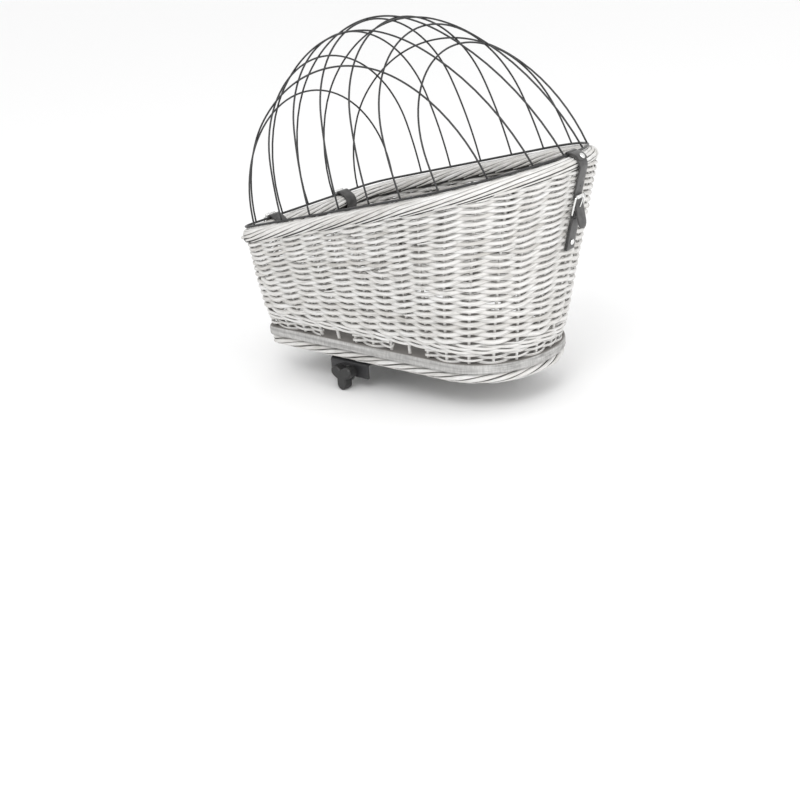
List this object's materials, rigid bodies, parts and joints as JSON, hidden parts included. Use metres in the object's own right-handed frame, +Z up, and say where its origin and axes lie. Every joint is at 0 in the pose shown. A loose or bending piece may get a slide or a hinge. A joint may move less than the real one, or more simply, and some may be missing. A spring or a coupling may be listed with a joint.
{
  "type": "dog bicycle basket",
  "caption": "Woven willow dog basket for a bicycle rack, with a hinged wire dome lid, leather buckle straps and a clamp bracket below.",
  "frame": {"origin": "middle of the underside of the rack bracket's web, where it rests on the bicycle's rack", "axes": "+X to the high round rear end, +Y to the bicycle's right, +Z up"},
  "size_m": [0.5569, 0.362, 0.5518],
  "materials": {
    "willow": "matt white-washed willow",
    "board_wood": "sawn grey-washed board",
    "lid_wire": "semi-gloss black coating",
    "black_steel": "satin black powder coat",
    "leather": "black, lightly grained",
    "bright_steel": "polished nickel plate",
    "zinc_steel": "zinc plated",
    "knob_plastic": "moulded black plastic"
  },
  "bodies": {
    "basket": {"base_board": "board_wood", "board_bolts": "zinc_steel", "board_nuts": "zinc_steel", "bracket": "black_steel", "clamp_bolt": "zinc_steel", "clamp_washers": "zinc_steel", "closure_fold_ends": "leather", "closure_lower_rivet": "bright_steel", "closure_lower_strap": "leather", "foot_border": "willow", "hinge_buckle_left": "bright_steel", "hinge_buckle_right": "bright_steel", "hinge_strap_left": "leather", "hinge_strap_right": "leather", "lower_weave_front": "willow", "lower_weave_left": "willow", "lower_weave_rear": "willow", "lower_weave_right": "willow", "side_weave": "willow", "spacers": "zinc_steel", "stakes": "willow", "top_border": "willow", "waling": "willow"},
    "lid": {"lid_base_wire": "lid_wire", "cross_arch_1": "lid_wire", "cross_arch_2": "lid_wire", "cross_arch_3": "lid_wire", "cross_arch_4": "lid_wire", "cross_arch_5": "lid_wire", "cross_arch_6": "lid_wire", "cross_arch_7": "lid_wire", "long_wire_1": "lid_wire", "long_wire_2": "lid_wire", "long_wire_3": "lid_wire", "long_wire_4": "lid_wire", "long_wire_5": "lid_wire"},
    "closure_strap": {"closure_upper_strap": "leather", "closure_upper_rivet": "bright_steel"},
    "closure_frame": {"closure_frame": "bright_steel"},
    "closure_roller": {"closure_roller": "bright_steel"},
    "closure_prong": {"closure_prong": "bright_steel"},
    "knob": {"clamp_knob": "knob_plastic"},
    "hinge_roller_left": {"hinge_roller_left": "bright_steel"},
    "hinge_prong_left": {"hinge_prong_left": "bright_steel"},
    "hinge_roller_right": {"hinge_roller_right": "bright_steel"},
    "hinge_prong_right": {"hinge_prong_right": "bright_steel"}
  },
  "joints": [
    {"name": "lid_hinge", "type": "hinge", "parent": "basket", "child": "lid", "pos_m": [-0.1595, 0, 0.2055], "axis": [0, -1, 0], "range_deg": [0, 100]},
    {"name": "closure_strap_hang", "type": "hinge", "parent": "lid", "child": "closure_strap", "pos_m": [0.34417, 0.018, 0.33108], "axis": [0.0981, -0.9949, 0.0245], "range_deg": [-100, 0], "deforming": ["closure_upper_strap"]},
    {"name": "closure_frame_swing", "type": "hinge", "parent": "basket", "child": "closure_frame", "pos_m": [0.34882, 0.01847, 0.24508], "axis": [-0.1011, 0.9949, 0], "range_deg": [0, 16]},
    {"name": "closure_roller_turn", "type": "hinge", "parent": "closure_frame", "child": "closure_roller", "pos_m": [0.3563, 0.01923, 0.27158], "axis": [0.1011, -0.9949, 0], "continuous": true},
    {"name": "closure_prong_lift", "type": "hinge", "parent": "closure_frame", "child": "closure_prong", "pos_m": [0.34882, 0.01847, 0.24508], "axis": [-0.1011, 0.9949, 0], "range_deg": [0, 12]},
    {"name": "hinge_roller_left_turn", "type": "hinge", "parent": "basket", "child": "hinge_roller_left", "pos_m": [-0.16884, -0.077, 0.20715], "axis": [0, 1, 0], "continuous": true},
    {"name": "hinge_prong_left_lift", "type": "hinge", "parent": "basket", "child": "hinge_prong_left", "pos_m": [-0.17359, -0.077, 0.17876], "axis": [0, -1, 0], "range_deg": [0, 22]},
    {"name": "hinge_roller_right_turn", "type": "hinge", "parent": "basket", "child": "hinge_roller_right", "pos_m": [-0.16884, 0.082, 0.20715], "axis": [0, 1, 0], "continuous": true},
    {"name": "hinge_prong_right_lift", "type": "hinge", "parent": "basket", "child": "hinge_prong_right", "pos_m": [-0.17359, 0.082, 0.17876], "axis": [0, -1, 0], "range_deg": [0, 22]},
    {"name": "knob_turn", "type": "hinge", "parent": "basket", "child": "knob", "pos_m": [0, -0.113, -0.017], "axis": [0, -1, 0], "continuous": true}
  ],
  "couplings": [
    {"joint": "closure_strap_hang", "follows": "lid_hinge", "ratio": -1}
  ]
}
